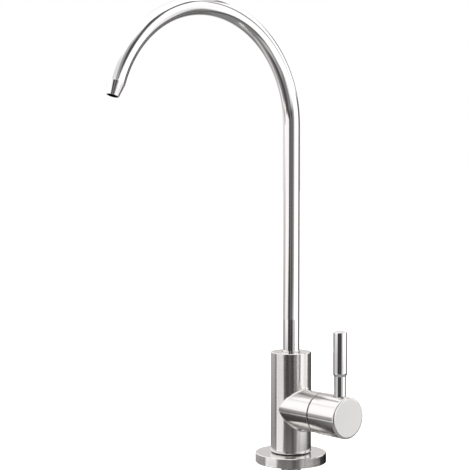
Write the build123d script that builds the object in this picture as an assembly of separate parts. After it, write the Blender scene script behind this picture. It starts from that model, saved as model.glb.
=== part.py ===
from build123d import *
import os
from math import cos, radians, sin, sqrt

os.makedirs("parts", exist_ok=True)

# Sizes are in millimetres. Height zero is the underside of the flange, where the tap stands on the
# worktop. The spout reaches towards -Y and the valve branch towards +X.

# Fits that every piece shares
cut_over = 1.0
thread_play = 0.05
running_play = 0.05
loose_play = 0.35
edge_break = 0.3

# Flange plate under the column
flange_radius = 21.0
flange_edge_height = 5.7
flange_crown_height = 5.8
flange_chamfer = 0.3
seal_inset = 2.5
seal_width = 4.0
seal_groove_depth = 1.8

# Threaded shank below the column
shank_radius = 6.0
shank_bore_radius = 3.25
shank_below_deck = 55.0
shank_web = 2.5
shank_seal_thickness = 1.5
shank_lead = 0.8

# Column
column_radius = 12.0
column_edge = 0.3
column_foot_edge = 0.8
foot_ring_inset = 0.4
foot_ring_thickness = 0.4
channel_radius = 3.0
channel_web = 4.6

# Branch that holds the quarter-turn valve
branch_height = 32.5
branch_inset = 0.2
branch_length = 26.0
branch_blend = 1.4
chamber_wall = 3.3
chamber_floor = 5.0
port_radius_share = 0.246
port_offset_share = 0.58

# Quarter-turn valve, from the chamber floor outwards along the branch
base_seal_thickness = 1.6
insert_wall = 1.4
disc_play = 0.15
disc_thickness = 3.0
disc_gap = 0.02
turning_disc_play = 0.45
turning_disc_thickness = 2.8
link_slot_width = 3.0
link_slot_inset = 0.1
link_slot_depth = 1.5
lug_width = 2.8
lug_height = 1.2
lug_reach = 1.7
driver_thickness = 2.5
thrust_washer_thickness = 0.65
insert_lift = 0.3
collar_gasket_thickness = 0.6
collar_gap = 0.7
collar_thickness = 1.2
insert_corner_gap = 1.74
insert_hex_height = 2.6
spindle_radius = 4.0
spindle_ring_cord = 0.7
spindle_ring_spacing = 3.4
clip_groove_radius = 3.1
clip_outer_radius = 6.0
clip_thickness = 0.8
clip_mouth = 5.2
square_drive = 5.6
square_drive_length = 7.2

# Turning cap and its lever
cap_seam = 0.7
seam_ring_thickness = 0.6
seam_ring_inset = 0.2
cap_length = 21.3
cap_rim = 1.2
cap_wall = 1.6
cap_bore_depth = 7.05
cap_dish_depth = 0.15
cap_dish_margin = 1.5
lever_inset = 7.0
lever_tail_radius = 2.5
lever_tail_gap = 1.55
lever_seat_depth = 1.2
lever_stem_radius = 3.5
lever_stem_length = 12.4
lever_grip_radius = 4.1
lever_grip_length = 25.4
lever_shoulder = 1.4
lever_shoulder_round = 2.5
lever_tip_edge = 0.5
grub_radius = 2.0
grub_length = 5.0
grub_key_flats = 2.0
grub_key_depth = 2.2

# Spout
tube_radius = 5.0
tube_wall = 0.8
straight_top = 199.2
bend_radius = 64.0
bend_angle = 161.6
straight_end = 0.85
nose_length = 7.4
nose_radius = 3.45
nose_wall = 0.45
socket_web = 3.0
socket_depth = 21.5
spigot_wall = 2.45
spigot_ring_cord = 0.75
spigot_ring_spacing_share = 0.42
slip_washer_thickness = 0.5
gland_thread_wall = 1.5
gland_depth = 8.0
gland_lip = 1.4
gland_key_radius = 0.9
gland_key_depth = 1.6
bush_wall = 1.6

# Fastening under the worktop, shown on a worktop of deck_thickness
deck_thickness = 20.0
rubber_radius = 16.0
rubber_thickness = 3.0
washer_radius = 14.0
washer_thickness = 1.5
spring_washer_radius = 10.4
spring_washer_thickness = 2.0
spring_washer_gap = 1.4
nut_flats = 19.0
nut_height = 8.0

# Push-in inlet for the water tube
inlet_thread_length = 9.0
inlet_hex_flats = 18.0
inlet_hex_height = 11.0
inlet_barrel_radius = 8.2
inlet_barrel_length = 17.0
inlet_seal_thickness = 2.0
throat_length = 2.5
tube_socket_radius = 3.25
tube_socket_length = 2.5
tube_ring_cord = 1.05
ring_room_length = 3.4
collet_body_radius = 4.7
collet_head_radius = 5.4
collet_head_length = 2.0
collet_flange_radius = 6.8
collet_flange_thickness = 1.0
collet_travel = 1.5
collet_slot = 0.7
collet_slot_length = 6.0
retainer_radius = 6.5
retainer_flange = 1.6

# Radii that follow from the column and from the spout tube
shank_clear = shank_radius + loose_play
branch_radius = column_radius - branch_inset
chamber_radius = branch_radius - chamber_wall
insert_cavity_radius = chamber_radius - thread_play - insert_wall
disc_radius = insert_cavity_radius - disc_play
turning_disc_radius = insert_cavity_radius - turning_disc_play
port_radius = port_radius_share * disc_radius
port_offset = port_offset_share * disc_radius
cap_radius = column_radius
cap_bore_radius = cap_radius - cap_wall
collar_radius = cap_bore_radius - collar_gap
insert_hex_flats = sqrt(3) * (cap_bore_radius - insert_corner_gap)
spigot_radius = tube_radius + spigot_wall
socket_radius = spigot_radius + running_play
gland_radius = socket_radius + gland_thread_wall
bush_radius = tube_radius + bush_wall

# Heights in the column that follow from the branch
shank_socket_top = branch_height - chamber_radius - shank_web
shank_top = shank_socket_top - shank_seal_thickness
lower_channel_top = branch_height - channel_web / 2
upper_channel_bottom = branch_height + channel_web / 2
socket_floor = branch_height + chamber_radius + socket_web
column_top = socket_floor + socket_depth
gland_bottom = column_top - gland_depth
column_bottom = flange_crown_height + foot_ring_thickness


def rod(radius, bottom, top):
    """A round bar on the upright axis."""
    return Pos(0, 0, bottom) * Cylinder(radius, top - bottom, align=(Align.CENTER, Align.CENTER, Align.MIN))


def ring(outer, inner, bottom, top):
    """A round bar with a hole through it."""
    return rod(outer, bottom, top) - rod(inner, bottom - cut_over, top + cut_over)


def block(width, depth, bottom, top):
    """A square-edged bar on the upright axis."""
    return Pos(0, 0, bottom) * Box(width, depth, top - bottom, align=(Align.CENTER, Align.CENTER, Align.MIN))


def hexagon(flats, bottom, top):
    """A hexagonal bar whose corners are turned off at both ends."""
    corner = flats / sqrt(3)
    bar = Pos(0, 0, bottom) * extrude(RegularPolygon(flats / 2, 6, major_radius=False), amount=top - bottom)
    turned = rod(corner, bottom, top)
    turned = chamfer(turned.edges().filter_by(GeomType.CIRCLE), (corner - flats / 2) / 2, corner - flats / 2)
    return bar & turned


def rubber_ring(middle_radius, cord_radius, height):
    """A round-section ring that lies flat."""
    return Pos(0, 0, height) * Torus(middle_radius, cord_radius)


def on_branch(shape):
    """Turns a shape built upwards from zero so that it lies along the branch."""
    return Pos(0, 0, branch_height) * Rot(0, 90, 0) * shape


def end_circles(shape, height):
    """The round edges of a shape at one height."""
    return shape.edges().filter_by(GeomType.CIRCLE).filter_by(
        lambda edge: abs(edge.center().Z - height) < edge_break / 2 and abs(edge.normal().Z) > 0.5
    )


def save(name, shape):
    """Writes one piece under its own name."""
    export_step(shape, f"parts/{name}.step")


# Flange plate, its rubber ring and the ring under the column
seal_groove_outer = flange_radius - seal_inset
seal_groove_inner = seal_groove_outer - seal_width
seal_groove = ring(seal_groove_outer, seal_groove_inner, -cut_over, seal_groove_depth)


def flange():
    rim = flange_radius - flange_chamfer
    outline = Polyline(
        (0, 0),
        (flange_radius - edge_break, 0),
        (flange_radius, edge_break),
        (flange_radius, flange_edge_height - flange_chamfer),
        (rim, flange_edge_height),
        (column_radius, flange_crown_height),
        (0, flange_crown_height),
        close=True,
    )
    plate = revolve(Plane.XZ * make_face(outline), Axis.Z)
    hole = rod(shank_clear, -cut_over, flange_crown_height + cut_over)
    return plate - hole - seal_groove


save("base_flange", flange())
save("flange_seal", ring(seal_groove_outer, seal_groove_inner, 0, seal_groove_depth))

foot_ring_radius = column_radius - foot_ring_inset
save("column_foot_ring", ring(foot_ring_radius, shank_clear, flange_crown_height, column_bottom))


# Column with its branch, waterways and threaded sockets

def column():
    upright = rod(column_radius, column_bottom, column_top)
    arm = on_branch(rod(branch_radius, 0, branch_length))
    outside = upright + arm
    seam = outside.edges().filter_by(
        lambda edge: edge.geom_type != GeomType.LINE
        and edge_break < edge.center().X < column_radius + edge_break
        and abs(edge.center().Z - branch_height) < column_radius
    )
    outside = fillet(seam, branch_blend)
    outside = chamfer(end_circles(outside, column_top), column_edge)
    outside = fillet(end_circles(outside, column_bottom), column_foot_edge)
    mouth = outside.edges().filter_by(GeomType.CIRCLE).sort_by(Axis.X)[-1]
    outside = chamfer(mouth, edge_break)

    shank_socket = rod(shank_radius + thread_play, column_bottom - cut_over, shank_socket_top)
    lower_channel = rod(channel_radius, shank_socket_top - cut_over, lower_channel_top)
    upper_channel = rod(channel_radius, upper_channel_bottom, socket_floor + cut_over)
    spout_socket = rod(socket_radius, socket_floor, column_top)
    gland_thread = rod(gland_radius + thread_play, gland_bottom, column_top + cut_over)
    chamber = on_branch(rod(chamber_radius, chamber_floor, branch_length + cut_over))
    inside = shank_socket + lower_channel + upper_channel + spout_socket + gland_thread + chamber
    for side in (-1, 1):
        inside += on_branch(Pos(side * port_offset, 0, 0) * rod(port_radius, 0, chamber_floor + cut_over))
    return outside - inside


save("tap_body", column())

# Shank and its seal in the column
shank_bottom = -shank_below_deck


def shank():
    tube = ring(shank_radius, shank_bore_radius, shank_bottom, shank_top)
    return chamfer(end_circles(tube, shank_bottom).sort_by(SortBy.RADIUS)[-1], shank_lead)


save("threaded_shank", shank())
save("shank_seal", ring(shank_radius - thread_play, channel_radius, shank_top, shank_socket_top))

# Valve: every place is a distance along the branch
fixed_disc_start = chamber_floor + base_seal_thickness
turning_disc_start = fixed_disc_start + disc_thickness + disc_gap
driver_start = turning_disc_start + turning_disc_thickness
thrust_start = driver_start + driver_thickness + running_play
insert_shoulder = thrust_start + thrust_washer_thickness
collar_start = branch_length + collar_gasket_thickness
insert_hex_start = collar_start + collar_thickness
insert_end = insert_hex_start + insert_hex_height
clip_start = insert_end + running_play
drive_start = clip_start + clip_thickness + edge_break
drive_end = drive_start + square_drive_length


def ported_disc(radius, start, thickness, hole_radius):
    """A disc with one hole for each of the two waterways."""
    disc = rod(radius, start, start + thickness)
    for side in (-1, 1):
        disc -= Pos(side * port_offset, 0, 0) * rod(hole_radius, start - cut_over, start + thickness + cut_over)
    return disc


def lug_pair(play, start, top):
    """Two driving lugs at opposite edges of the turning disc."""
    pair = Part()
    for side in (-1, 1):
        place = side * (turning_disc_radius - lug_reach / 2)
        pair += Pos(place, 0, 0) * block(lug_reach + 2 * play, lug_width + 2 * play, start, top)
    return pair


def turning_disc():
    disc = rod(turning_disc_radius, turning_disc_start, driver_start)
    link_slot_length = 2 * (port_offset + port_radius - link_slot_inset)
    slot = extrude(SlotOverall(link_slot_length, link_slot_width), amount=link_slot_depth + cut_over)
    slot = Pos(0, 0, turning_disc_start - cut_over) * Rot(0, 0, 90) * slot
    return disc - slot - lug_pair(running_play, driver_start - lug_height, driver_start + cut_over)


def insert():
    """The brass valve insert that screws into the branch."""
    shell = rod(chamber_radius - thread_play, chamber_floor + insert_lift, branch_length)
    shell += rod(chamber_radius - thread_play, branch_length, collar_start)
    shell += rod(collar_radius, collar_start, insert_hex_start)
    shell += hexagon(insert_hex_flats, insert_hex_start, insert_end)
    shell -= rod(insert_cavity_radius, chamber_floor - cut_over, insert_shoulder)
    return shell - rod(spindle_radius + running_play, insert_shoulder - cut_over, insert_end + cut_over)


ring_groove_bottom = spindle_radius - 2 * spindle_ring_cord
first_ring = (insert_shoulder + insert_end - spindle_ring_spacing) / 2


def spindle():
    bar = rod(turning_disc_radius, driver_start, driver_start + driver_thickness)
    bar += rod(spindle_radius, driver_start, drive_start)
    bar += block(square_drive, square_drive, drive_start - cut_over, drive_end)
    lugs = lug_pair(0, driver_start - lug_height + running_play, driver_start + driver_thickness)
    bar += lugs & rod(turning_disc_radius, driver_start - lug_height, driver_start + driver_thickness)
    for turn in range(2):
        middle = first_ring + turn * spindle_ring_spacing
        low, high = middle - spindle_ring_cord, middle + spindle_ring_cord
        bar -= ring(spindle_radius + cut_over, ring_groove_bottom, low, high)
    return bar - ring(spindle_radius + cut_over, clip_groove_radius, clip_start, clip_start + clip_thickness)


def spindle_rings():
    middle_radius = spindle_radius - spindle_ring_cord
    return [
        rubber_ring(middle_radius, spindle_ring_cord, first_ring + turn * spindle_ring_spacing) for turn in range(2)
    ]


def clip():
    """A spring clip that snaps over the spindle from one side."""
    top = clip_start + clip_thickness
    plate = ring(clip_outer_radius, clip_groove_radius, clip_start, top)
    mouth = Pos(0, clip_outer_radius, 0) * block(clip_mouth, 2 * clip_outer_radius, clip_start - cut_over, top + cut_over)
    return plate - mouth


save("valve_base_seal", on_branch(ported_disc(disc_radius, chamber_floor, base_seal_thickness, port_radius)))
save("fixed_ceramic_disc", on_branch(ported_disc(disc_radius, fixed_disc_start, disc_thickness, port_radius)))
save("turning_ceramic_disc", on_branch(turning_disc()))
save("valve_insert", on_branch(insert()))
save("insert_gasket", on_branch(ring(collar_radius, chamber_radius, branch_length, collar_start)))
seam_ring_end = branch_length + seam_ring_thickness
seam_ring_inner = collar_radius + thread_play
save("seam_ring", on_branch(ring(column_radius - seam_ring_inset, seam_ring_inner, branch_length, seam_ring_end)))
save("thrust_washer", on_branch(ring(disc_radius, spindle_radius + running_play, thrust_start, insert_shoulder)))
save("valve_spindle", on_branch(spindle()))
save("spindle_rings", Compound(children=[on_branch(one) for one in spindle_rings()]))
save("spindle_clip", on_branch(clip()))

# Turning cap, lever and grub screw
cap_start = branch_length + cap_seam
cap_end = cap_start + cap_length
cap_hub_start = cap_start + cap_bore_depth
lever_place = cap_end - lever_inset
lever_seat = cap_radius - lever_seat_depth
lever_tail_end = square_drive / 2 + running_play + lever_tail_gap
grub_place = (cap_hub_start + drive_end) / 2
grub_end = square_drive / 2 + running_play
grub_start = grub_end + grub_length


def cap():
    shell = rod(cap_radius, cap_start, cap_end)
    shell = fillet(end_circles(shell, cap_end), cap_rim)
    dish_width = cap_radius - cap_dish_margin
    dish_radius = (dish_width**2 + cap_dish_depth**2) / (2 * cap_dish_depth)
    shell -= Pos(0, 0, cap_end - cap_dish_depth + dish_radius) * Rot(90, 0, 0) * Sphere(dish_radius)
    shell = chamfer(end_circles(shell, cap_start), edge_break)
    shell -= rod(cap_bore_radius, cap_start - cut_over, cap_hub_start)
    socket = square_drive + 2 * running_play
    shell -= block(socket, socket, cap_hub_start - cut_over, drive_end + edge_break)
    placed = on_branch(shell)
    over = branch_height + cap_radius + cut_over
    placed -= Pos(lever_place, 0, 0) * rod(lever_stem_radius + loose_play, branch_height + lever_seat, over)
    tail_hole = rod(lever_tail_radius + thread_play, branch_height + lever_tail_end - edge_break, over)
    placed -= Pos(lever_place, 0, 0) * tail_hole
    grub_hole = rod(grub_radius + thread_play, branch_height - cap_radius - cut_over, branch_height)
    return placed - Pos(grub_place, 0, 0) * grub_hole


def lever():
    stem_top = lever_seat + lever_stem_length
    top = lever_seat + lever_stem_length + lever_grip_length
    shoulder_top = stem_top + lever_shoulder
    shoulder = Cone(
        lever_stem_radius, lever_grip_radius, lever_shoulder, align=(Align.CENTER, Align.CENTER, Align.MIN)
    )
    grip = rod(lever_grip_radius, shoulder_top, top) + Pos(0, 0, stem_top) * shoulder
    grip = fillet(end_circles(grip, shoulder_top), lever_shoulder_round)
    grip = fillet(end_circles(grip, top), lever_tip_edge)
    bar = rod(lever_tail_radius, lever_tail_end, lever_seat) + rod(lever_stem_radius, lever_seat, stem_top + cut_over)
    return Pos(lever_place, 0, branch_height) * (bar + grip)


def grub_screw():
    screw = rod(grub_radius, grub_end, grub_start)
    screw = chamfer(end_circles(screw, grub_end), edge_break)
    key = Pos(0, 0, grub_start - grub_key_depth) * extrude(
        RegularPolygon(grub_key_flats / 2, 6, major_radius=False), amount=grub_key_depth + cut_over
    )
    return Pos(grub_place, 0, branch_height) * Rot(180, 0, 0) * (screw - key)


save("handle_cap", cap())
save("lever", lever())
save("cap_grub_screw", grub_screw())

# Spout: tube, spigot with its rings, and the gland that keeps it in the column
spigot_bottom = socket_floor + running_play
slip_washer_top = gland_bottom - running_play
spigot_top = slip_washer_top - slip_washer_thickness
spigot_ring_spacing = spigot_ring_spacing_share * (spigot_top - spigot_bottom)
first_spigot_ring = (spigot_bottom + spigot_top - spigot_ring_spacing) / 2


def spout_path(start, end_run):
    """The line of the gooseneck, from a height on the upright run to the end of its straight end."""
    turn = radians(bend_angle)
    arc_end = Vector(0, -bend_radius * (1 - cos(turn)), straight_top + bend_radius * sin(turn))
    heading = Vector(0, -sin(turn), cos(turn))
    upright = Line((0, 0, start), (0, 0, straight_top))
    bend = Plane(origin=(0, -bend_radius, straight_top), x_dir=(0, 1, 0), z_dir=(1, 0, 0)) * CenterArc(
        (0, 0), bend_radius, 0, bend_angle
    )
    tail = Line(arc_end, arc_end + heading * end_run)
    return Wire([upright.edge(), bend.edge(), tail.edge()]), arc_end + heading * end_run, heading


def spout_core(radius, end_radius, start, nose):
    """A solid bent bar that narrows over its last stretch."""
    path, end, heading = spout_path(start, straight_end)
    bar = sweep(Plane((0, 0, start)) * Circle(radius), path=path)
    cone_place = Plane(origin=end, x_dir=(1, 0, 0), z_dir=heading)
    cone = cone_place * Cone(radius, end_radius, nose, align=(Align.CENTER, Align.CENTER, Align.MIN))
    return bar + cone


def spout_tube():
    outside = spout_core(tube_radius, nose_radius, spigot_bottom, nose_length)
    bore_radius = tube_radius - tube_wall
    bore_end = nose_radius - nose_wall
    narrowing = (bore_radius - bore_end) / nose_length
    inside = spout_core(bore_radius, bore_end - narrowing * edge_break, spigot_bottom, nose_length + edge_break)
    return outside - inside - rod(bore_radius, spigot_bottom - cut_over, spigot_bottom + cut_over)


def spigot():
    sleeve = ring(spigot_radius, tube_radius, spigot_bottom, spigot_top)
    for turn in range(2):
        middle = first_spigot_ring + turn * spigot_ring_spacing
        low, high = middle - spigot_ring_cord, middle + spigot_ring_cord
        sleeve -= ring(socket_radius + cut_over, spigot_radius - 2 * spigot_ring_cord, low, high)
    return sleeve


def spigot_rings():
    middle_radius = spigot_radius - spigot_ring_cord
    return [
        rubber_ring(middle_radius, spigot_ring_cord, first_spigot_ring + turn * spigot_ring_spacing) for turn in range(2)
    ]


def gland():
    """The ring nut, flush with the top of the column, with two holes for a pin key."""
    nut = ring(gland_radius, tube_radius + loose_play, gland_bottom, column_top)
    nut -= rod(bush_radius, gland_bottom - cut_over, column_top - gland_lip)
    key_ring = (tube_radius + gland_radius) / 2
    for side in (-1, 1):
        hole = rod(gland_key_radius, column_top - gland_key_depth, column_top + cut_over)
        nut -= Pos(side * (key_ring + edge_break), 0, 0) * hole
    return nut


save("spout_tube", spout_tube())
save("spout_spigot", spigot())
save("spigot_rings", Compound(children=spigot_rings()))
save("slip_washer", ring(spigot_radius, tube_radius + running_play, spigot_top, slip_washer_top))
save("gland_nut", gland())
save("spout_bush", ring(bush_radius, tube_radius + running_play, gland_bottom, column_top - gland_lip))

# Fastening under the worktop
rubber_top = -deck_thickness
washer_top = rubber_top - rubber_thickness
spring_washer_top = washer_top - washer_thickness
nut_top = spring_washer_top - spring_washer_thickness
nut_bottom = nut_top - nut_height


def spring_washer():
    plate = ring(spring_washer_radius, shank_clear, nut_top, spring_washer_top)
    cut = Pos(0, spring_washer_radius, (nut_top + spring_washer_top) / 2) * Rot(0, 45, 0) * Box(
        spring_washer_gap / sqrt(2), 2 * spring_washer_radius, 3 * spring_washer_thickness
    )
    return plate - cut


def mounting_nut():
    body = hexagon(nut_flats, nut_bottom, nut_top)
    return body - rod(shank_radius + thread_play, nut_bottom - cut_over, nut_top + cut_over)


save("rubber_washer", ring(rubber_radius, shank_clear, washer_top, rubber_top))
save("steel_washer", ring(washer_radius, shank_clear, spring_washer_top, washer_top))
save("spring_washer", spring_washer())
save("mounting_nut", mounting_nut())

# Push-in inlet on the end of the shank
inlet_top = shank_bottom + inlet_thread_length
inlet_hex_bottom = inlet_top - inlet_hex_height
inlet_seal_bottom = shank_bottom - inlet_seal_thickness
tube_stop = inlet_seal_bottom - throat_length
ring_room_top = tube_stop - tube_socket_length
ring_room_bottom = ring_room_top - ring_room_length
inlet_mouth = inlet_hex_bottom - inlet_barrel_length
collet_top = ring_room_bottom - collet_travel - loose_play
retainer_top = collet_top - collet_head_length
collet_flange_top = inlet_mouth - retainer_flange - collet_travel - running_play
collet_bottom = collet_flange_top - collet_flange_thickness
ring_room_radius = tube_socket_radius + 2 * tube_ring_cord


def inlet_body():
    shell = hexagon(inlet_hex_flats, inlet_hex_bottom, inlet_top)
    barrel = rod(inlet_barrel_radius, inlet_mouth, inlet_hex_bottom + cut_over)
    shell += chamfer(end_circles(barrel, inlet_mouth), edge_break)
    shell -= rod(shank_radius + thread_play, inlet_seal_bottom, inlet_top + cut_over)
    shell -= rod(channel_radius, tube_stop - cut_over, inlet_seal_bottom + cut_over)
    shell -= rod(tube_socket_radius, ring_room_top - cut_over, tube_stop)
    shell -= rod(ring_room_radius, ring_room_bottom, ring_room_top)
    return shell - rod(retainer_radius, inlet_mouth - cut_over, ring_room_bottom)


def retainer():
    """The ring pressed into the mouth that holds the collet in."""
    sleeve = ring(retainer_radius, collet_body_radius + running_play, inlet_mouth - retainer_flange, retainer_top)
    lip_bottom = inlet_mouth - retainer_flange
    lip = ring(inlet_barrel_radius, collet_body_radius + running_play, lip_bottom, inlet_mouth)
    return sleeve + chamfer(end_circles(lip, lip_bottom).sort_by(SortBy.RADIUS)[-1], edge_break)


def collet():
    sleeve = rod(collet_body_radius, collet_bottom, collet_top)
    head = rod(collet_head_radius, retainer_top, collet_top)
    sleeve += chamfer(end_circles(head, collet_top), edge_break)
    sleeve += rod(collet_flange_radius, collet_bottom, collet_flange_top)
    sleeve -= rod(tube_socket_radius, collet_bottom - cut_over, collet_top + cut_over)
    for turn in (0, 90):
        slot = block(3 * collet_head_radius, collet_slot, collet_top - collet_slot_length, collet_top + cut_over)
        sleeve -= Rot(0, 0, turn) * slot
    return sleeve


save("inlet_body", inlet_body())
save("inlet_seal", ring(shank_radius - thread_play, channel_radius, inlet_seal_bottom, shank_bottom))
tube_ring_height = (ring_room_top + ring_room_bottom) / 2
save("tube_ring", rubber_ring(tube_socket_radius + tube_ring_cord, tube_ring_cord, tube_ring_height))
save("collet_retainer", retainer())
save("release_collet", collet())
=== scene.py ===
"""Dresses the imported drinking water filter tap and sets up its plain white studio.

Lengths are metres in the frame of the CAD model: height zero is the worktop, the spout reaches
towards -Y and the valve branch towards +X.
"""

import logging
from dataclasses import dataclass
from enum import Enum
from math import atan2, ceil, degrees, hypot, radians, tau

import bmesh
import bpy
from mathutils import Matrix


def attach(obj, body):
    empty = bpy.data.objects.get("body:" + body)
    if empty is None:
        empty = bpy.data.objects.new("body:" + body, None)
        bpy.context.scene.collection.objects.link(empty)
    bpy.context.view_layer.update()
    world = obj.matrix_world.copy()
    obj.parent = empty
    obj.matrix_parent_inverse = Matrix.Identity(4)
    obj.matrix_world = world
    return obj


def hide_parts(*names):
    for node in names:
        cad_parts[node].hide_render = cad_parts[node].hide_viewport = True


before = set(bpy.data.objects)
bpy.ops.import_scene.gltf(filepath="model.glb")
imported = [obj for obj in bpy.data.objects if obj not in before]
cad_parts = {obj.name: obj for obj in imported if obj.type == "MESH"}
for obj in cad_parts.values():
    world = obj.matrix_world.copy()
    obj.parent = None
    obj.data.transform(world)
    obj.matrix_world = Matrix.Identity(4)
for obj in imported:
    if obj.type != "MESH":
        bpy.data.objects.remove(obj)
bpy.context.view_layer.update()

MM = 0.001
# Places on the tap: height of the branch's axis, then distances along the branch
BRANCH_HEIGHT = 32.5 * MM
COLUMN_WALL = 12.3 * MM
CAP_FACE = 47.4 * MM
# The tool's marks: their length, how finely and how much their noise breaks up, and the range it fills
MARK_LENGTH = 60 * MM
MARK_DETAIL = 3.0
MARK_BREAKS = 0.6
MARK_LOW, MARK_HIGH = 0.25, 0.75
# Direction of the level lines on the cap's end, and the turn that stretches a highlight across the marks
LEVEL_LINES = (0.0, 1.0, 0.0)
ACROSS = 0.25
# Heights that differ by less than this are level
LEVEL = 0.01 * MM
# Warmth of a dark card, and the share of a card's warmth that its green has
DARK = 0.06
GREEN_SHARE = 0.85
# Lowest and highest level of the cards: degrees above the horizon, and metres on the table
SKY_LIMITS = (-90.0, 90.0)
TABLE_LIMITS = (0.0, 9.0)
HALF_TURN = 180.0
# A ray that counts more clear surfaces than this has passed both panes
ONE_PANE = 1.5
# Sockets of a Mix node: its share, then first, second and result for vectors and for colours
SHARE = 0
VECTOR_A, VECTOR_B, VECTOR_OUT = 4, 5, 1
COLOUR_A, COLOUR_B, COLOUR_OUT = 6, 7, 2

log = logging.getLogger("filter_tap")

Socket = bpy.types.NodeSocket
Tree = bpy.types.NodeTree
Sockets = dict[str | int, object]


def linear(colour: str) -> tuple[float, float, float, float]:
    """Turns an sRGB hex colour to the linear values that the shader takes.

    Args:
        colour: Six hex digits, such as "C8C4BE".

    Returns:
        Red, green, blue and an alpha of one.
    """
    channels = [int(colour[place:place + 2], 16) / 255 for place in (0, 2, 4)]
    straight = [c / 12.92 if c <= 0.04045 else ((c + 0.055) / 1.055) ** 2.4 for c in channels]
    return (straight[0], straight[1], straight[2], 1.0)


def add_node(tree: Tree, kind: str, sockets: Sockets | None = None, **settings: object) -> bpy.types.Node:
    """Adds one node with its settings, values and links.

    Args:
        tree: The tree of a material or of the world.
        kind: The node's type, such as "ShaderNodeMath".
        sockets: Input name or number to a value, or to the output socket that is linked to it.
        settings: The node's own properties.

    Returns:
        The new node.
    """
    node = tree.nodes.new(kind)
    for name, value in settings.items():
        setattr(node, name, value)
    for key, value in (sockets or {}).items():
        socket = node.inputs[key]
        if isinstance(value, bpy.types.NodeSocket):
            tree.links.new(value, socket)
        else:
            socket.default_value = value
    return node


def empty_material(name: str) -> bpy.types.Material:
    """Makes a material whose tree is still empty.

    Args:
        name: What it is, in plain words.

    Returns:
        The material.
    """
    made = bpy.data.materials.new(name)
    made.use_nodes = True
    made.node_tree.nodes.clear()
    return made


def past_panes(tree: Tree) -> Socket:
    """Tells the rays that have passed both clear panes from all others.

    Args:
        tree: The tree of the world or of a material.

    Returns:
        One for such a ray and zero for others.
    """
    path = add_node(tree, "ShaderNodeLightPath")
    return add_node(tree, "ShaderNodeMath", {0: path.outputs["Transparent Depth"], 1: ONE_PANE},
                    operation="GREATER_THAN").outputs[0]


class Marks(Enum):
    """Which way the tool's marks run on a surface."""

    ROUND_COLUMN = "fine rings round the column's axis"
    ROUND_BRANCH = "fine rings round the branch's axis, and level lines on the cap's end"
    ROUND_BOTH = "rings round the column and, past its wall, round the branch"
    GRAIN = "even grain without direction"


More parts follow.
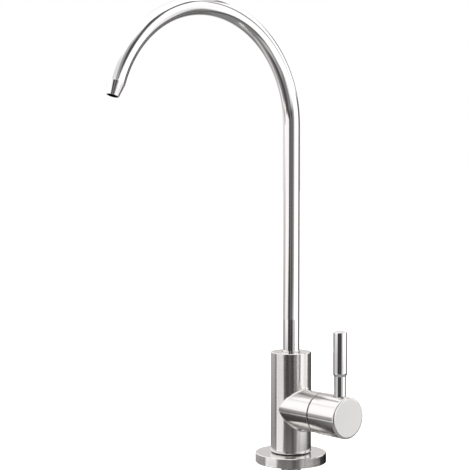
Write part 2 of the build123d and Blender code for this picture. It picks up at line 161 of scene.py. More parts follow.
@dataclass(frozen=True)
class Finish:
    """One finish, as its maker would name it.

    Attributes:
        name: Common name of the material and how its surface was made.
        colour: sRGB hex colour.
        metallic: One for bare metal.
        roughness: Middle roughness of the surface.
        spread: How far the marks move the roughness up and down.
        marks: Direction of the marks.
        pitch: Spacing of the marks in metres.
        depth: Height of the marks in metres, for the bump.
        brushed: How much a highlight is stretched across the marks, from zero to one.
        ior: Index of refraction, for what isn't metal.
    """

    name: str
    colour: str
    metallic: float = 0.0
    roughness: float = 0.4
    spread: float = 0.0
    marks: Marks = Marks.GRAIN
    pitch: float = 0.4 * MM
    depth: float = 0.0
    brushed: float = 0.0
    ior: float = 1.5

    def past(self, tree: Tree, place: Socket, limit: float, near: Socket,
             far: Socket | tuple[float, float, float]) -> Socket:
        """Chooses between two vectors along the branch.

        Args:
            tree: The material's tree.
            place: Object coordinates.
            limit: Distance from the column's axis at which the second vector starts.
            near, far: The vectors before and past the limit.

        Returns:
            The vector that holds at the place.
        """
        parts = add_node(tree, "ShaderNodeSeparateXYZ", {"Vector": place})
        past = add_node(tree, "ShaderNodeMath", {0: parts.outputs["X"], 1: limit}, operation="GREATER_THAN")
        return add_node(tree, "ShaderNodeMix", {SHARE: past.outputs[0], VECTOR_A: near, VECTOR_B: far},
                        data_type="VECTOR").outputs[VECTOR_OUT]

    def along(self, tree: Tree, place: Socket) -> Socket:
        """Stretches the object's coordinates so that noise on them runs with the marks.

        Args:
            tree: The material's tree.
            place: Object coordinates.

        Returns:
            Coordinates for a noise of scale one.
        """
        fine, coarse = 1 / self.pitch, 1 / MARK_LENGTH
        if self.marks is Marks.GRAIN:
            grain = add_node(tree, "ShaderNodeMapping", {"Vector": place, "Scale": (fine, fine, fine)})
            return grain.outputs[0]
        column = add_node(tree, "ShaderNodeMapping", {"Vector": place, "Scale": (coarse, coarse, fine)})
        branch = add_node(tree, "ShaderNodeMapping", {"Vector": place, "Scale": (fine, coarse, coarse)})
        if self.marks is Marks.ROUND_COLUMN:
            return column.outputs[0]
        if self.marks is Marks.ROUND_BRANCH:
            return branch.outputs[0]
        return self.past(tree, place, COLUMN_WALL, column.outputs[0], branch.outputs[0])

    def round_axis(self, tree: Tree, place: Socket) -> Socket:
        """Gives the direction in which the marks run, round the axis of the lathe.

        Args:
            tree: The material's tree.
            place: Object coordinates.

        Returns:
            The direction in the scene's frame.
        """
        column = add_node(tree, "ShaderNodeVectorMath", {0: (0, 0, 1), 1: place}, operation="CROSS_PRODUCT")
        centred = add_node(tree, "ShaderNodeVectorMath", {0: place, 1: (0, 0, BRANCH_HEIGHT)},
                           operation="SUBTRACT")
        branch = add_node(tree, "ShaderNodeVectorMath", {0: (1, 0, 0), 1: centred.outputs[0]},
                          operation="CROSS_PRODUCT")
        if self.marks is Marks.ROUND_COLUMN:
            found = column.outputs[0]
        elif self.marks is Marks.ROUND_BRANCH:
            found = self.past(tree, place, CAP_FACE, branch.outputs[0], LEVEL_LINES)
        else:
            found = self.past(tree, place, COLUMN_WALL, column.outputs[0], branch.outputs[0])
        unit = add_node(tree, "ShaderNodeVectorMath", {0: found}, operation="NORMALIZE")
        return add_node(tree, "ShaderNodeVectorTransform", {0: unit.outputs[0]}, vector_type="VECTOR",
                        convert_from="OBJECT", convert_to="WORLD").outputs[0]

    def material(self) -> bpy.types.Material:
        """Builds the material the first time that it is asked for.

        Returns:
            The material that all pieces of this finish share.
        """
        known = bpy.data.materials.get(self.name)
        if known:
            return known
        made = bpy.data.materials.new(self.name)
        made.use_nodes = True
        tree = made.node_tree
        shader = tree.nodes["Principled BSDF"]
        shader.inputs["Base Color"].default_value = linear(self.colour)
        shader.inputs["Metallic"].default_value = self.metallic
        shader.inputs["Roughness"].default_value = self.roughness
        if not self.metallic:
            shader.inputs["IOR"].default_value = self.ior
        place = add_node(tree, "ShaderNodeTexCoord").outputs["Object"]
        noise = add_node(tree, "ShaderNodeTexNoise", {
            "Vector": self.along(tree, place), "Scale": 1.0, "Detail": MARK_DETAIL,
            "Roughness": MARK_BREAKS})
        if self.spread:
            rough = add_node(tree, "ShaderNodeMapRange", {
                "Value": noise.outputs[0], "From Min": MARK_LOW, "From Max": MARK_HIGH,
                "To Min": self.roughness - self.spread, "To Max": self.roughness + self.spread})
            tree.links.new(rough.outputs[0], shader.inputs["Roughness"])
        if self.depth:
            bump = add_node(tree, "ShaderNodeBump", {"Height": noise.outputs[0], "Distance": self.depth,
                                                     "Strength": 1.0})
            tree.links.new(bump.outputs[0], shader.inputs["Normal"])
        if self.brushed:
            shader.inputs["Anisotropic"].default_value = self.brushed
            shader.inputs["Anisotropic Rotation"].default_value = ACROSS
            tree.links.new(self.round_axis(tree, place), shader.inputs["Tangent"])
        return made


# Real tool marks and mould grain are 0.05 to 0.1 mm apart, too fine to show, so each pitch is drawn coarser

# Stainless steel, brushed on a lathe: reflections stay sharp round the part and are drawn out along it
BRUSHED_BODY = Finish("Brushed stainless steel body", "E0DEDC", 1.0, 0.165, 0.03, Marks.ROUND_BOTH, 0.5 * MM,
                      brushed=0.5)
BRUSHED_CAP = Finish("Brushed stainless steel cap", "E0DEDC", 1.0, 0.165, 0.03, Marks.ROUND_BRANCH, 0.5 * MM,
                     brushed=0.5)
# The flange keeps the rings of its turning, which are a little coarser and make its light less even
TURNED_FLANGE = Finish("Turned stainless steel flange", "E0DEDC", 1.0, 0.165, 0.04, Marks.ROUND_COLUMN,
                       0.6 * MM, brushed=0.5)
# The tube and the lever are polished, so they show the studio's cards almost as a mirror does. Their steel
# is painted lighter than the body's, a painted brightening of their reflections
POLISHED_TUBE = Finish("Polished stainless steel tube", "EEEDED", 1.0, 0.07, 0.02, Marks.GRAIN, 1.5 * MM)
# Zinc plating over turned steel: greyer than the body, with broad soft highlights
ZINC_STEEL = Finish("Zinc plated machined steel", "D8D6D4", 1.0, 0.26, 0.06, Marks.ROUND_COLUMN, 0.5 * MM,
                    brushed=0.5)
# Phosphating leaves the steel dark grey and nearly matt
SPRING_STEEL = Finish("Dark phosphated spring steel", "5E5E60", 1.0, 0.38, 0.06, Marks.GRAIN, 0.3 * MM)
# Freshly cut brass: yellow, with the cutter's rings across its highlights
MACHINED_BRASS = Finish("Machined brass", "E8C375", 1.0, 0.24, 0.05, Marks.ROUND_BRANCH, 0.4 * MM,
                        brushed=0.6)
# Alumina lapped flat: ivory white with a smooth, hard gloss
LAPPED_CERAMIC = Finish("Lapped alumina ceramic", "F3F2EC", 0.0, 0.12, 0.02, Marks.GRAIN, 0.3 * MM, ior=1.76)
# Rubber is nearly black and dull, with the fine grain of its mould
MOULDED_RUBBER = Finish("Moulded black rubber", "242425", 0.0, 0.55, 0.08, Marks.GRAIN, 0.35 * MM,
                        0.002 * MM, ior=1.52)
# Acetal is coloured right through and comes out of its mould with a soft, even gloss
BLACK_ACETAL = Finish("Moulded black acetal", "1C1C1D", 0.0, 0.4, 0.05, Marks.GRAIN, 0.4 * MM, 0.001 * MM,
                      ior=1.48)
WHITE_ACETAL = Finish("Moulded white acetal", "EAEAE6", 0.0, 0.34, 0.05, Marks.GRAIN, 0.4 * MM, 0.001 * MM,
                      ior=1.48)
BLUE_ACETAL = Finish("Moulded blue acetal", "3C63A8", 0.0, 0.32, 0.05, Marks.GRAIN, 0.4 * MM, 0.001 * MM,
                     ior=1.48)


def as_object(shape: bmesh.types.BMesh, name: str, crease: float = 35.0) -> bpy.types.Object:
    """Turns a bmesh to an object in the scene, smooth but for its creases.

    Args:
        shape: The finished bmesh, which is freed.
        name: The piece's name.
        crease: Edges that turn by more than this many degrees stay sharp.

    Returns:
        The object, at the origin.
    """
    for edge in shape.edges:
        edge.smooth = len(edge.link_faces) == 2 and edge.calc_face_angle() < radians(crease)
    for face in shape.faces:
        face.smooth = True
    mesh = bpy.data.meshes.new(name)
    shape.to_mesh(mesh)
    shape.free()
    made = bpy.data.objects.new(name, mesh)
    bpy.context.scene.collection.objects.link(made)
    return made


@dataclass(frozen=True)
class SubAssembly:
    """Pieces that are made and fitted together.

    Attributes:
        title: What the log calls them.
        finishes: Each CAD node and its finish.
    """

    title: str
    finishes: dict[str, Finish]

    def build(self) -> None:
        """Gives every CAD node its finish, then makes the pieces that show more than the CAD does."""
        for name, finish in self.finishes.items():
            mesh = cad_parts[name].data
            mesh.materials.clear()
            mesh.materials.append(finish.material())
            log.info("%s: %s: %s", self.title, name, finish.name)
        self.make_pieces()

    def make_pieces(self) -> None:
        """Makes the pieces that take the place of CAD nodes; most sub-assemblies need none."""

    def fit(self, shape: bmesh.types.BMesh, name: str, node: str, body: str, slot: str) -> None:
        """Puts a finished piece where a CAD node is.

        Args:
            shape: The finished bmesh, which is freed.
            name: The new piece's name.
            node: The CAD node that it shows.
            body: The body that it rides on.
            slot: Its material slot; not used.
        """
        piece = as_object(shape, name)
        piece.data.materials.append(self.finishes[node].material())
        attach(piece, body)
        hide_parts(node)
        log.info("%s: %s in place of %s, %d faces", self.title, name, node, len(piece.data.polygons))


@dataclass(frozen=True)
class Thread:
    """A right-hand screw thread round the upright axis.

    Attributes:
        major, minor: Radius over the crests and in the roots.
        pitch: Rise in one turn.
        flat: Width of crest and root, as a share of the pitch.
        steps: Faces in one turn.
        weld: Points that lie closer than this are one.
        cut: Points that lie closer than this to a cut are on it.
    """

    major: float
    minor: float
    pitch: float = 1.0 * MM
    flat: float = 0.125
    steps: int = 48
    weld: float = 0.002 * MM
    cut: float = 0.001 * MM

    def wind(self, bottom: float, top: float) -> bmesh.types.BMesh:
        """Winds the thread and cuts its two ends level.

        Args:
            bottom, top: Heights of the ends, which stay open.

        Returns:
            The threaded surface.
        """
        shape = bmesh.new()
        outline = ((0.0, self.major), (self.flat, self.major), (0.5, self.minor),
                   (0.5 + self.flat, self.minor))
        # a turn too many at each end, for the level cuts to take off
        turns = range(-1, ceil((top - bottom) / self.pitch) + 2)
        corners = [shape.verts.new((radius, 0, bottom + (turn + share) * self.pitch))
                   for turn in turns for share, radius in outline]
        sides = [shape.edges.new(pair) for pair in zip(corners, corners[1:])]
        bmesh.ops.spin(shape, geom=corners + sides, cent=(0, 0, 0), axis=(0, 0, 1), angle=tau,
                       steps=self.steps, dvec=(0, 0, self.pitch / self.steps))
        bmesh.ops.remove_doubles(shape, verts=shape.verts, dist=self.weld)
        for height, side in ((bottom, -1), (top, 1)):
            bmesh.ops.bisect_plane(shape, geom=shape.verts[:] + shape.edges[:] + shape.faces[:],
                                   dist=self.cut, plane_co=(0, 0, height), plane_no=(0, 0, side),
                                   clear_outer=True)
        return shape


@dataclass(frozen=True)
class RoundedRing:
    """A flat ring whose four edges are rounded, as punching or moulding leaves them.

    Attributes:
        outer, inner: Its radii.
        bottom, top: Its heights.
        round: Radius of the edges.
        steps: Faces round the ring.
        edge_faces: Faces across a rounded edge.
    """

    outer: float
    inner: float
    bottom: float
    top: float
    round: float
    steps: int = 96
    edge_faces: int = 3

    def turn(self) -> bmesh.types.BMesh:
        """Turns the ring's outline round the upright axis.

        Returns:
            The closed ring.
        """
        shape = bmesh.new()
        corners = [shape.verts.new((radius, 0, height)) for radius, height in (
            (self.inner, self.bottom), (self.outer, self.bottom),
            (self.outer, self.top), (self.inner, self.top))]
        sides = [shape.edges.new((corners[place - 1], corners[place])) for place in range(len(corners))]
        bmesh.ops.bevel(shape, geom=corners + sides, offset=self.round, segments=self.edge_faces,
                        profile=0.5, affect="VERTICES", material=-1)
        bmesh.ops.spin(shape, geom=shape.verts[:] + shape.edges[:], cent=(0, 0, 0), axis=(0, 0, 1),
                       angle=tau, steps=self.steps, use_merge=True)
        bmesh.ops.recalc_face_normals(shape, faces=shape.faces)
        return shape


@dataclass(frozen=True)
class Fastening(SubAssembly):
    """The threaded shank with the washers and the nut that clamp the tap to the worktop.

    Attributes:
        shank: The shank's thread.
        shank_bore: Radius of the water's way through the shank.
        shank_bottom, shank_top: Heights of the shank's ends.
        shank_lead: How far up from its end the shank is thinned.
        rubber, washer: The rubber and the steel washer.
    """

    shank: Thread = Thread(6.0 * MM, 5.45 * MM)
    shank_bore: float = 3.25 * MM
    shank_bottom: float = -55.0 * MM
    shank_top: float = 20.0 * MM
    shank_lead: float = 0.8 * MM
    rubber: RoundedRing = RoundedRing(16.0 * MM, 6.35 * MM, -23.0 * MM, -20.0 * MM, 0.6 * MM)
    washer: RoundedRing = RoundedRing(14.0 * MM, 6.35 * MM, -24.5 * MM, -23.0 * MM, 0.25 * MM)

    def threaded_shank(self) -> bmesh.types.BMesh:
        """Winds the shank's thread, thins its lower end and gives it the bore.

        Returns:
            The closed shank.
        """
        shape = self.shank.wind(self.shank_bottom, self.shank_top)
        for corner in shape.verts:
            reach = hypot(corner.co.x, corner.co.y)
            most = self.shank.major - max(0.0, self.shank_bottom + self.shank_lead - corner.co.z)
            if reach > most:
                corner.co.x *= most / reach
                corner.co.y *= most / reach
        rims = {}
        for height in (self.shank_bottom, self.shank_top):
            outside = [edge for edge in shape.edges if edge.is_boundary and all(
                abs(end.co.z - height) < LEVEL for end in edge.verts)]
            made = bmesh.ops.create_circle(shape, segments=self.shank.steps, radius=self.shank_bore,
                                           matrix=Matrix.Translation((0, 0, height)))
            rims[height] = list({edge for corner in made["verts"] for edge in corner.link_edges})
            bmesh.ops.bridge_loops(shape, edges=outside + rims[height])
        bmesh.ops.bridge_loops(shape, edges=rims[self.shank_bottom] + rims[self.shank_top])
        bmesh.ops.recalc_face_normals(shape, faces=shape.faces)
        return shape

    def make_pieces(self) -> None:
        """Makes the threaded shank and the two flat washers."""
        self.fit(self.threaded_shank(), "shank_with_thread", "threaded_shank", "base", "machined_steel")
        self.fit(self.rubber.turn(), "moulded_rubber_washer", "rubber_washer", "clamp", "black_rubber")
        self.fit(self.washer.turn(), "punched_steel_washer", "steel_washer", "clamp", "machined_steel")


def sub_assemblies() -> list[SubAssembly]:
    """Lists the tap's sub-assemblies from the flange outwards.

    Returns:
        Sub-assemblies that between them hold every CAD node once.
    """
    return [
        SubAssembly("flange and column", {
            # The column's foot ring is a real rubber gasket; its black is also painted shade for the gap at
            # the column's foot
            "base_flange": TURNED_FLANGE, "flange_seal": MOULDED_RUBBER, "column_foot_ring": MOULDED_RUBBER,
            "tap_body": BRUSHED_BODY, "shank_seal": MOULDED_RUBBER}),
        SubAssembly("quarter-turn valve", {
            "valve_base_seal": MOULDED_RUBBER, "fixed_ceramic_disc": LAPPED_CERAMIC,
            "turning_ceramic_disc": LAPPED_CERAMIC, "valve_insert": MACHINED_BRASS,
            "insert_gasket": MOULDED_RUBBER, "thrust_washer": WHITE_ACETAL, "valve_spindle": MACHINED_BRASS,
            "spindle_rings": MOULDED_RUBBER, "spindle_clip": SPRING_STEEL}),
        SubAssembly("handle", {
            # The seam ring is a real acetal washer; its black is also painted shade for the seam between
            # body and cap
            "seam_ring": BLACK_ACETAL, "handle_cap": BRUSHED_CAP, "lever": POLISHED_TUBE,
            "cap_grub_screw": SPRING_STEEL}),
        SubAssembly("spout", {
            "spout_tube": POLISHED_TUBE, "spout_spigot": ZINC_STEEL, "spigot_rings": MOULDED_RUBBER,
            "slip_washer": WHITE_ACETAL, "gland_nut": TURNED_FLANGE, "spout_bush": BLACK_ACETAL}),
        Fastening("fastening under the worktop", {
            "threaded_shank": ZINC_STEEL, "rubber_washer": MOULDED_RUBBER, "steel_washer": ZINC_STEEL,
            "spring_washer": ZINC_STEEL, "mounting_nut": ZINC_STEEL}),
        SubAssembly("push-in inlet", {
            "inlet_body": WHITE_ACETAL, "inlet_seal": MOULDED_RUBBER, "tube_ring": MOULDED_RUBBER,
            "collet_retainer": WHITE_ACETAL, "release_collet": BLUE_ACETAL}),
    ]


@dataclass(frozen=True)
class Card:
    """A bright or dark card of the studio, as the metal sees it.

    Attributes:
        left, right: Turn from the camera's side in degrees, to the picture's right when positive. A side
            at half a turn or more isn't drawn.
        low, high: Degrees above the horizon, or metres from the column for a card on the table.
        glow: Brightness of the card.
        soft: Half width of its soft sides in degrees.
        blend: Half width of its soft lower and upper edge, in the unit of low and high.
        warm: Share by which its blue is lower than its red; its green is lower by almost as much.
    """

    left: float
    right: float
    low: float
    high: float
    glow: float
    soft: float = 1.5
    blend: float = 1.5
    warm: float = 0.04

    def mask(self, tree: Tree, turn: Socket, level: Socket, limits: tuple[float, float]) -> Socket | None:
        """Builds the card's coverage.

        Args:
            tree: The tree of the world or of a material.
            turn: Turn from the camera's side in degrees.
            level: Height or distance, in the unit of low and high.
            limits: Lowest and highest level; an edge that reaches one of them isn't drawn.

        Returns:
            One on the card and zero beside it, or None if it covers everything.
        """
        mask: Socket | None = None
        edges = (
            (turn, self.left, 1, self.soft, abs(self.left) < HALF_TURN),
            (turn, self.right, -1, self.soft, abs(self.right) < HALF_TURN),
            (level, self.low, 1, self.blend, self.low > limits[0]),
            (level, self.high, -1, self.blend, self.high < limits[1]),
        )
        for value, edge, sign, width, drawn in edges:
            if not drawn:
                continue
            ramp = add_node(tree, "ShaderNodeMapRange", {
                "Value": value, "From Min": edge - sign * width, "From Max": edge + sign * width},
                interpolation_type="SMOOTHSTEP").outputs[0]
            if mask is not None:
                ramp = add_node(tree, "ShaderNodeMath", {0: mask, 1: ramp}, operation="MULTIPLY").outputs[0]
            mask = ramp
        return mask


@dataclass
class Studio:
    """Plain white surroundings: a world of cards, a table, two clear panes, a pale floor and the camera.

    Attributes:
        camera_place: Where the camera stands.
        camera_tilt, camera_turn: Its turn up from straight down, and round the upright, in degrees.
        lens, sensor: Its focal length and the width of its sensor in millimetres.
        sky_glow, ground_glow: Brightness above and below the horizon, where there is no card.
        horizon: Half the height of the soft step between the two, in degrees.
        table_glow: Brightness of the table where there is no card.
        table_height, table_reach, table_edge: Its height, its radius and half its soft rim.
        high_glow: Brightness of the ground that is seen through the panes, where there is no card.
        high_start, high_full: Degrees above the horizon where that ground starts to show and is full.
        pane_level, pane_gap, pane_reach: Height of the lower pane, the gap to the other, and their radius.
        floor_height, floor_reach: Height of the floor and half its side.
        floor_colour, floor_glow: Its sRGB hex colour, and how much it glows to the camera.
        sides: Sides of the table and the panes.
        sky_cards, high_cards, table_cards: The cards, each over the ones before it.
    """

    camera_place: tuple[float, float, float] = (0.56252, -0.51955, 0.17152)
    camera_tilt: float = 87.233
    camera_turn: float = 49.755
    lens: float = 99.54
    sensor: float = 36.0
    sky_glow: float = 1.35
    ground_glow: float = 0.40
    horizon: float = 2.0
    table_glow: float = 0.36
    table_height: float = -78.4 * MM
    table_reach: float = 420.0 * MM
    table_edge: float = 8.0 * MM
    high_glow: float = 0.24
    high_start: float = -5.0
    high_full: float = -11.0
    pane_level: float = 84.0 * MM
    pane_gap: float = 1.0 * MM
    pane_reach: float = 3.0
    floor_height: float = -78.7 * MM
    floor_reach: float = 12.0
    floor_colour: str = "E7E7E7"
    floor_glow: float = 0.62
    sides: int = 96
    # each card: left, right, low, high and glow, then soft, blend and warm
    sky_cards: tuple[Card, ...] = (
        # ground beyond the table
        Card(14, 86, -46, 0, 1.30, 3.0, 2.0, 0.0),
        Card(86, 150, -90, -13, 0.15, 3.0, 1.5, DARK),
        Card(-75, 14, -50, -13, 0.14, 4.0, 2.0, DARK),
        # band round the horizon, from the left of the camera to its back
        Card(-200, -98, -10, 6, 0.52),
        Card(-200, -98, -5, 6, 0.85, 2.0, 2.5),
        Card(-160, -98, -18, -11.4, 0.20, 2.0, 0.8, DARK),
        Card(-101, -89, -18, -8, 0.12, 1.5, 1.0, DARK),
        Card(-200, -160, -30, -10, 0.04, 3.0, 1.0, DARK),
        Card(-88, -41, -14, 12, 1.15, 2.0),
        Card(-88, -46, -18, -10.5, 1.40, 1.5, 1.0, 0.0),
        Card(-84, -42, -11.2, -7.4, 0.60, 2.0, 1.0, 0.0),
        Card(-104, -89, -9, -1, 0.33, 1.5, 2.0),
        Card(-42.5, 20, -14, 24, 0.055, 1.5, 4.0, DARK),
        Card(-14, -6, -14, 20, 0.085, 2.0, 4.0, DARK),
        Card(20, 34, -14, 9, 0.33),
        Card(34, 46, -14, 9, 1.1, 1.0),
        Card(43.5, 57, -16, -8, 0.0, 0.8, 0.6, DARK),
        Card(53, 110, -11, 9, 1.45, 1.0, 1.0, 0.0),
        Card(20, 26, -18, -10.5, 0.06, 2.0, 1.0, DARK),
        Card(27, 40, -18, -10.5, 0.19, 2.0, 1.0, DARK),
        Card(40, 90, -18, -10.5, 0.85, 2.0, 1.0, 0.0),
        Card(94, 150, -18, -10.5, 0.04, 3.0, 1.0, DARK),
        Card(108, 136, -13, 8, 0.16, 2.0),
        Card(136, 168, -13, 24, 0.06, 2.0, 4.0, DARK),
        Card(160, 200, -30, -10, 0.04, 3.0, 1.0, DARK),
        # higher up, the dark side of the room breaks up into stripes
        Card(-44, -31, -4, 24, 1.0, 2.0, 2.0, 0.0),
        Card(-12, 2, -5.5, 24, 0.25, 2.0, 2.5),
        Card(14, 28, -5.5, 20, 0.26, 2.0, 2.5),
        Card(28, 40, -5, 9, 0.42, 2.0, 2.0),
        Card(40, 46, -5, 9, 1.2, 1.0, 2.0),
        # behind the tap, as the flange's flat top sees it
        Card(166, 200, 4, 22, 0.75, 2.0, 3.0),
        Card(-200, -172, 4, 22, 0.75, 2.0, 3.0),
        Card(-200, -158, 20, 34, 0.5, 3.0, 3.0),
        # dark patch high on the right, and the gap that leads from it to the back
        Card(-60, 12, 28, 50, 0.86, 10.0, 8.0, 0.0),
        Card(-6, 60, 24, 54, 0.55, 8.0, 6.0, 0.0),
        Card(2, 60, 21, 42, 0.34, 6.0, 5.0, 0.0),
        Card(24, 54, 20, 42, 0.085, 5.0, 5.0, DARK),
        Card(40, 66, 34, 58, 0.09, 5.0, 5.0, DARK),
        Card(58, 96, 42, 56, 0.13, 5.0, 3.0, DARK),
        Card(92, 150, 42, 49, 0.3, 4.0, 3.0),
        Card(88, 97, 5, 38, 0.36, 1.5, 3.0),
        Card(-113, -108, 29, 38, 0.8, 1.5, 2.0),
        # what the flat end of the cap sees
        Card(77, 95, -19, -2, 1.02, 6.0, 4.0, 0.0),
    )
    high_cards: tuple[Card, ...] = (
        # ground as the bend and the nose see it, turning from behind the camera's left to its right
        Card(-200, -128, -90, -62, 0.50, 8.0, 6.0),
        Card(-200, -128, -24, 9, 0.55, 6.0, 6.0),
        Card(-132, -92, -78, 9, 0.62, 8.0, 6.0),
        Card(-118, -92, -24, 9, 0.95, 8.0, 6.0, 0.0),
        Card(-92, -60, -16, 9, 1.10, 6.0, 6.0),
        Card(-64, -24, -66, 9, 0.085, 6.0, 8.0, DARK),
        Card(-20, 12, -46, -36, 0.42, 5.0, 4.0),
        Card(-12, 36, -68, -48, 0.55, 8.0, 5.0),
        Card(10, 30, -25, 9, 0.80, 4.0, 5.0, 0.0),
        Card(24, 92, -40, 9, 1.25, 8.0, 5.0, 0.0),
        Card(92, 114, -24, 9, 1.00, 8.0, 6.0, 0.0),
        Card(36, 120, -56, -45, 0.12, 8.0, 3.0, DARK),
        Card(116, 164, -48, 9, 0.13, 8.0, 6.0, DARK),
        Card(164, 200, -24, 9, 0.45, 8.0, 6.0),
    )
    table_cards: tuple[Card, ...] = (
        Card(-200, 200, 0.33, 0.39, 0.12, 2.0, 0.012, DARK),
        Card(-200, -88, 0.0, 0.39, 0.06, 3.0, 0.02, DARK),
        Card(-160, -108, 0.33, 9, 0.48, 4.0, 0.02),
        Card(-108, -88, 0.33, 9, 0.55, 4.0, 0.02, 0.0),
        Card(-88, -45, 0.33, 9, 1.60, 4.0, 0.02, 0.0),
        Card(-45, 5, 0.22, 9, 0.30, 2.0, 0.03, DARK),
        Card(5, 28, 0.22, 9, 0.15, 3.0, 0.03, DARK),
        Card(28, 55, 0.28, 9, 0.40, 3.0, 0.02),
        Card(55, 74, 0.28, 9, 0.12, 3.0, 0.02, DARK),
        Card(74, 200, 0.28, 9, 0.0, 4.0, 0.02, DARK),
    )

    def paint(self, tree: Tree, towards: Socket, level: Socket, base: Socket | float,
              cards: tuple[Card, ...], limits: tuple[float, float]) -> Socket:
        """Lays cards over a base brightness.

        Args:
            tree: The tree of the world or of the table's material.
            towards: Direction from the column.
            level: Degrees above the horizon or metres from the column.
            base: Brightness where there is no card.
            cards: The cards, each over the ones before it.
            limits: Lowest and highest level.

        Returns:
            The colour that the metal sees.
        """
        side = degrees(atan2(self.camera_place[1], self.camera_place[0]))
        turned = add_node(tree, "ShaderNodeVectorRotate", {
            "Vector": towards, "Axis": (0, 0, 1), "Angle": radians(-side)}, rotation_type="AXIS_ANGLE")
        parts = add_node(tree, "ShaderNodeSeparateXYZ", {"Vector": turned.outputs[0]})
        turn = add_node(tree, "ShaderNodeMath", {0: parts.outputs["Y"], 1: parts.outputs["X"]},
                        operation="ARCTAN2")
        turn = add_node(tree, "ShaderNodeMath", {0: turn.outputs[0]}, operation="DEGREES")
        colour = base if isinstance(base, bpy.types.NodeSocket) else (base, base, base, 1.0)
        for card in cards:
            mask = card.mask(tree, turn.outputs[0], level, limits)
            glow = (card.glow, card.glow * (1 - GREEN_SHARE * card.warm), card.glow * (1 - card.warm), 1.0)
            colour = add_node(tree, "ShaderNodeMix", {SHARE: mask or 1.0, COLOUR_A: colour, COLOUR_B: glow},
                              data_type="RGBA").outputs[COLOUR_OUT]
        return colour

    def light(self) -> None:
        """Builds the world: camera rays see white, and all others see the cards."""
        world = bpy.data.worlds.new("White studio with cards")
        bpy.context.scene.world = world
        world.use_nodes = True
        tree = world.node_tree
        tree.nodes.clear()
        towards = add_node(tree, "ShaderNodeTexCoord").outputs["Generated"]
        parts = add_node(tree, "ShaderNodeSeparateXYZ", {"Vector": towards})
        rise = add_node(tree, "ShaderNodeMath", {0: parts.outputs["Z"]}, operation="ARCSINE")
        rise = add_node(tree, "ShaderNodeMath", {0: rise.outputs[0]}, operation="DEGREES")
        sky = add_node(tree, "ShaderNodeMapRange", {
            "Value": rise.outputs[0], "From Min": -self.horizon, "From Max": self.horizon,
            "To Min": self.ground_glow, "To Max": self.sky_glow})
        low = self.paint(tree, towards, rise.outputs[0], sky.outputs[0], self.sky_cards, SKY_LIMITS)
        high = self.paint(tree, towards, rise.outputs[0], self.high_glow, self.high_cards, SKY_LIMITS)
        down = add_node(tree, "ShaderNodeMapRange", {
            "Value": rise.outputs[0], "From Min": self.high_start, "From Max": self.high_full})
        share = add_node(tree, "ShaderNodeMath", {0: down.outputs[0], 1: past_panes(tree)},
                         operation="MULTIPLY")
        cards = add_node(tree, "ShaderNodeMix", {SHARE: share.outputs[0], COLOUR_A: low, COLOUR_B: high},
                         data_type="RGBA")
        studio = add_node(tree, "ShaderNodeBackground", {
            "Color": cards.outputs[COLOUR_OUT], "Strength": 1.0})
        white = add_node(tree, "ShaderNodeBackground", {"Color": (1, 1, 1, 1), "Strength": 1.0})
        path = add_node(tree, "ShaderNodeLightPath")
        seen = add_node(tree, "ShaderNodeMixShader", {
            0: path.outputs["Is Camera Ray"], 1: studio.outputs[0], 2: white.outputs[0]})
        add_node(tree, "ShaderNodeOutputWorld", {"Surface": seen.outputs[0]})

    def disc(self, shape: bmesh.types.BMesh, radius: float, height: float) -> None:
        """Adds a flat disc that faces up.

        Args:
            shape: The bmesh that it is added to.
            radius: Its radius.
            height: Its height.
        """
        bmesh.ops.create_circle(shape, cap_ends=True, segments=self.sides, radius=radius,
                                matrix=Matrix.Translation((0, 0, height)))

    def for_metal_only(self, piece: bpy.types.Object) -> None:
        """Hides a piece of the stage from all but reflections.

        Args:
            piece: The piece.
        """
        piece.visible_camera = False
        piece.visible_diffuse = False
        piece.visible_transmission = False
        piece.visible_shadow = False

    def reflected_table(self) -> None:
        """Lays the table that only metal above it and under the panes sees; it is clear from below."""
        shape = bmesh.new()
        self.disc(shape, self.table_reach + 2 * self.table_edge, self.table_height)
        table = as_object(shape, "reflected_table")
        made = empty_material("Table as the metal sees it")
        tree = made.node_tree
        place = add_node(tree, "ShaderNodeTexCoord").outputs["Object"]
        flat = add_node(tree, "ShaderNodeVectorMath", {0: place, 1: (1, 1, 0)}, operation="MULTIPLY")
        reach = add_node(tree, "ShaderNodeVectorMath", {0: flat.outputs[0]}, operation="LENGTH")
        colour = self.paint(tree, flat.outputs[0], reach.outputs["Value"], self.table_glow, self.table_cards,
                            TABLE_LIMITS)
        seen = add_node(tree, "ShaderNodeEmission", {"Color": colour, "Strength": 1.0})
        clear = add_node(tree, "ShaderNodeBsdfTransparent")
        back = add_node(tree, "ShaderNodeNewGeometry")
        past = add_node(tree, "ShaderNodeMapRange", {
            "Value": reach.outputs["Value"], "From Min": self.table_reach - self.table_edge,
            "From Max": self.table_reach + self.table_edge}, interpolation_type="SMOOTHSTEP")
        gone = add_node(tree, "ShaderNodeMath", {0: back.outputs["Backfacing"], 1: past.outputs[0]},
                        operation="MAXIMUM")
        gone = add_node(tree, "ShaderNodeMath", {0: gone.outputs[0], 1: past_panes(tree)},
                        operation="MAXIMUM")
        both = add_node(tree, "ShaderNodeMixShader", {
            0: gone.outputs[0], 1: seen.outputs[0], 2: clear.outputs[0]})
        add_node(tree, "ShaderNodeOutputMaterial", {"Surface": both.outputs[0]})
        table.data.materials.append(made)
        self.for_metal_only(table)

    def clear_panes(self) -> None:
        """Lays two clear panes above the lever: what looks down through both sees the high cards."""
        shape = bmesh.new()
        self.disc(shape, self.pane_reach, self.pane_level)
        self.disc(shape, self.pane_reach, self.pane_level + self.pane_gap)
        panes = as_object(shape, "clear_panes")
        made = empty_material("Clear pane")
        clear = add_node(made.node_tree, "ShaderNodeBsdfTransparent")
        add_node(made.node_tree, "ShaderNodeOutputMaterial", {"Surface": clear.outputs[0]})
        panes.data.materials.append(made)
        self.for_metal_only(panes)

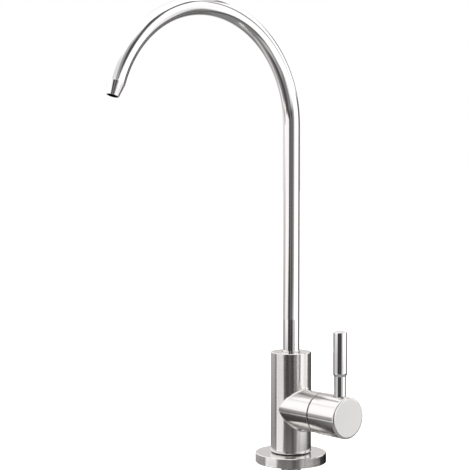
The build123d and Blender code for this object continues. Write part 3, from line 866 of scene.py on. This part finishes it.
    def floor(self) -> None:
        """Lays the pale floor just under the lowest piece; it is clear from below."""
        shape = bmesh.new()
        bmesh.ops.create_grid(shape, x_segments=1, y_segments=1, size=self.floor_reach,
                              matrix=Matrix.Translation((0, 0, self.floor_height)))
        floor = as_object(shape, "floor")
        # Matt paint: it shows the tap's soft shadow and no highlight
        made = bpy.data.materials.new("Pale matt studio floor")
        made.use_nodes = True
        tree = made.node_tree
        shader = tree.nodes["Principled BSDF"]
        shader.inputs["Base Color"].default_value = linear(self.floor_colour)
        shader.inputs["Roughness"].default_value = 1.0
        shader.inputs["Specular IOR Level"].default_value = 0.0
        path = add_node(tree, "ShaderNodeLightPath")
        glow = add_node(tree, "ShaderNodeMath", {0: path.outputs["Is Camera Ray"], 1: self.floor_glow},
                        operation="MULTIPLY")
        shader.inputs["Emission Color"].default_value = (1, 1, 1, 1)
        tree.links.new(glow.outputs[0], shader.inputs["Emission Strength"])
        back = add_node(tree, "ShaderNodeNewGeometry")
        clear = add_node(tree, "ShaderNodeBsdfTransparent")
        both = add_node(tree, "ShaderNodeMixShader", {
            0: back.outputs["Backfacing"], 1: shader.outputs[0], 2: clear.outputs[0]})
        tree.links.new(both.outputs[0], tree.nodes["Material Output"].inputs["Surface"])
        floor.data.materials.append(made)
        floor.visible_glossy = False
        floor.visible_diffuse = False
        floor.visible_transmission = False

    def place_camera(self) -> None:
        """Puts the camera where the photograph was taken from."""
        lens = bpy.data.cameras.new("camera")
        lens.lens = self.lens
        lens.sensor_width = self.sensor
        camera = bpy.data.objects.new("camera", lens)
        bpy.context.scene.collection.objects.link(camera)
        camera.location = self.camera_place
        camera.rotation_euler = (radians(self.camera_tilt), 0, radians(self.camera_turn))
        bpy.context.scene.camera = camera

    def build(self) -> None:
        """Sets up the light, the floor and the camera."""
        self.light()
        self.reflected_table()
        self.clear_panes()
        self.floor()
        self.place_camera()
        scene = bpy.context.scene
        scene.view_settings.view_transform = "Standard"


def main() -> None:
    """Builds the pieces in order, then the studio."""
    logging.basicConfig(level=logging.INFO, format="%(message)s")
    for group in sub_assemblies():
        group.build()
    Studio().build()


if __name__ == "__main__":
    main()
